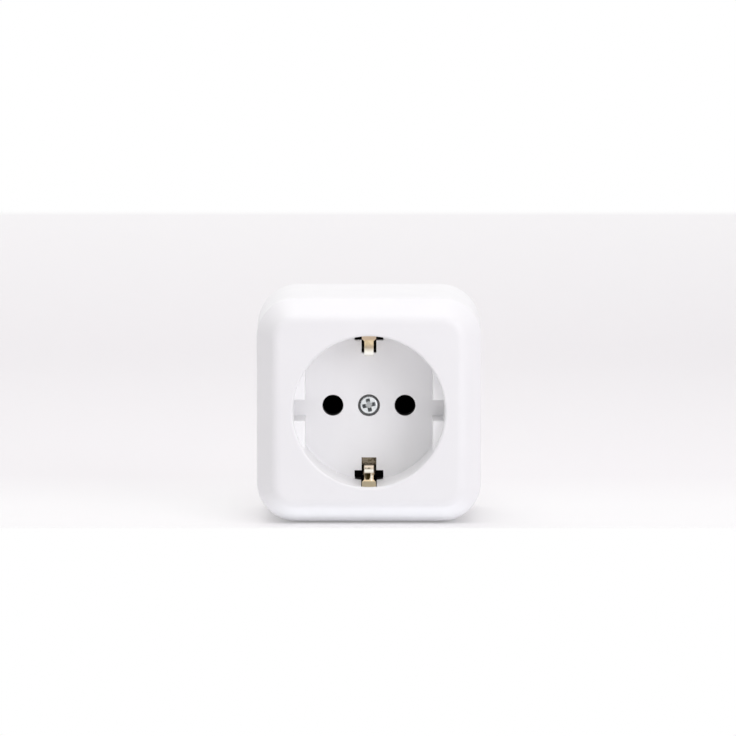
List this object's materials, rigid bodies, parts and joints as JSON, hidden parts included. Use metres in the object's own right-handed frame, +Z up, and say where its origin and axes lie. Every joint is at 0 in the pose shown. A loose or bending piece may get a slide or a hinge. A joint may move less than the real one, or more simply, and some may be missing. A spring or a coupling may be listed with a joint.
{
  "type": "surface-mounted socket",
  "caption": "Square surface-mounted wall socket with a round earthed plug well, sprung earth clips, a screwed cover and screw terminals inside.",
  "frame": {"origin": "centre of the rear face, which lies on the wall", "axes": "+Y into the wall, so the front face looks along -Y; +Z up as mounted; +X to the viewer's right"},
  "size_m": [0.06, 0.047, 0.06],
  "materials": {
    "white_cover": "glossy moulded, white",
    "white_plate": "fine matt, white",
    "dark_thermoset": "matt moulded, near black",
    "contact_brass": "stamped, bright",
    "spring_brass": "rolled strip, bright",
    "zinc_steel": "zinc plated",
    "natural_nylon": "natural"
  },
  "bodies": {
    "insert": {"base_plate": "white_plate", "contact_carrier": "dark_thermoset", "carrier_screws": "zinc_steel", "contact_shroud": "dark_thermoset", "contact_rivets": "contact_brass", "earth_strap": "contact_brass", "strap_rivets": "contact_brass", "live_contact": "contact_brass", "neutral_contact": "contact_brass"},
    "cover": {"cover": "white_cover"},
    "cover_screw": {"cover_screw": "zinc_steel", "cover_screw_ring": "natural_nylon"},
    "earth_clip_top": {"earth_clip_top": "spring_brass"},
    "earth_clip_bottom": {"earth_clip_bottom": "spring_brass"},
    "live_leaf_left": {"live_leaf_left": "spring_brass"},
    "live_leaf_right": {"live_leaf_right": "spring_brass"},
    "neutral_leaf_left": {"neutral_leaf_left": "spring_brass"},
    "neutral_leaf_right": {"neutral_leaf_right": "spring_brass"},
    "live_clamp_plate": {"live_clamp_plate": "zinc_steel"},
    "live_terminal_screw": {"live_terminal_screw": "zinc_steel"},
    "earth_clamp_plate": {"earth_clamp_plate": "zinc_steel"},
    "earth_terminal_screw": {"earth_terminal_screw": "zinc_steel"},
    "neutral_clamp_plate": {"neutral_clamp_plate": "zinc_steel"},
    "neutral_terminal_screw": {"neutral_terminal_screw": "zinc_steel"}
  },
  "joints": [
    {"name": "cover_slide", "type": "slide", "parent": "insert", "child": "cover", "axis": [0, -1, 0], "range_m": [0, 0.05]},
    {"name": "cover_screw_turn", "type": "hinge", "parent": "cover", "child": "cover_screw", "pos_m": [0, -0.0284, 0], "axis": [0, -1, 0], "range_deg": [0, 2160]},
    {"name": "earth_clip_top_flex", "type": "hinge", "parent": "insert", "child": "earth_clip_top", "pos_m": [0, -0.0247, 0.0183], "axis": [-1, 0, 0], "range_deg": [0, 5.5], "stiffness_Nm_per_rad": 1},
    {"name": "earth_clip_bottom_flex", "type": "hinge", "parent": "insert", "child": "earth_clip_bottom", "pos_m": [0, -0.0247, -0.0183], "axis": [1, 0, 0], "range_deg": [0, 5.5], "stiffness_Nm_per_rad": 1},
    {"name": "live_leaf_left_flex", "type": "hinge", "parent": "insert", "child": "live_leaf_left", "pos_m": [-0.01285, -0.0091, 0], "axis": [0, 0, -1], "range_deg": [0, 2], "stiffness_Nm_per_rad": 2},
    {"name": "live_leaf_right_flex", "type": "hinge", "parent": "insert", "child": "live_leaf_right", "pos_m": [-0.00615, -0.0091, 0], "axis": [0, 0, 1], "range_deg": [0, 2], "stiffness_Nm_per_rad": 2},
    {"name": "neutral_leaf_left_flex", "type": "hinge", "parent": "insert", "child": "neutral_leaf_left", "pos_m": [0.00615, -0.0091, 0], "axis": [0, 0, -1], "range_deg": [0, 2], "stiffness_Nm_per_rad": 2},
    {"name": "neutral_leaf_right_flex", "type": "hinge", "parent": "insert", "child": "neutral_leaf_right", "pos_m": [0.01285, -0.0091, 0], "axis": [0, 0, 1], "range_deg": [0, 2], "stiffness_Nm_per_rad": 2},
    {"name": "live_clamp_lift", "type": "slide", "parent": "insert", "child": "live_clamp_plate", "axis": [0, -1, 0], "range_m": [0, 0.0021]},
    {"name": "live_screw_turn", "type": "hinge", "parent": "live_clamp_plate", "child": "live_terminal_screw", "pos_m": [-0.016, -0.0097, -0.019], "axis": [0, -1, 0], "range_deg": [0, 1260]},
    {"name": "earth_clamp_lift", "type": "slide", "parent": "insert", "child": "earth_clamp_plate", "axis": [0, -1, 0], "range_m": [0, 0.0021]},
    {"name": "earth_screw_turn", "type": "hinge", "parent": "earth_clamp_plate", "child": "earth_terminal_screw", "pos_m": [0.0065, -0.0097, -0.019], "axis": [0, -1, 0], "range_deg": [0, 1260]},
    {"name": "neutral_clamp_lift", "type": "slide", "parent": "insert", "child": "neutral_clamp_plate", "axis": [0, -1, 0], "range_m": [0, 0.0021]},
    {"name": "neutral_screw_turn", "type": "hinge", "parent": "neutral_clamp_plate", "child": "neutral_terminal_screw", "pos_m": [0.016, -0.0097, -0.019], "axis": [0, -1, 0], "range_deg": [0, 1260]}
  ],
  "couplings": [
    {"joint": "live_screw_turn", "follows": "live_clamp_lift", "rad_per_m": 10472},
    {"joint": "earth_screw_turn", "follows": "earth_clamp_lift", "rad_per_m": 10472},
    {"joint": "neutral_screw_turn", "follows": "neutral_clamp_lift", "rad_per_m": 10472}
  ]
}
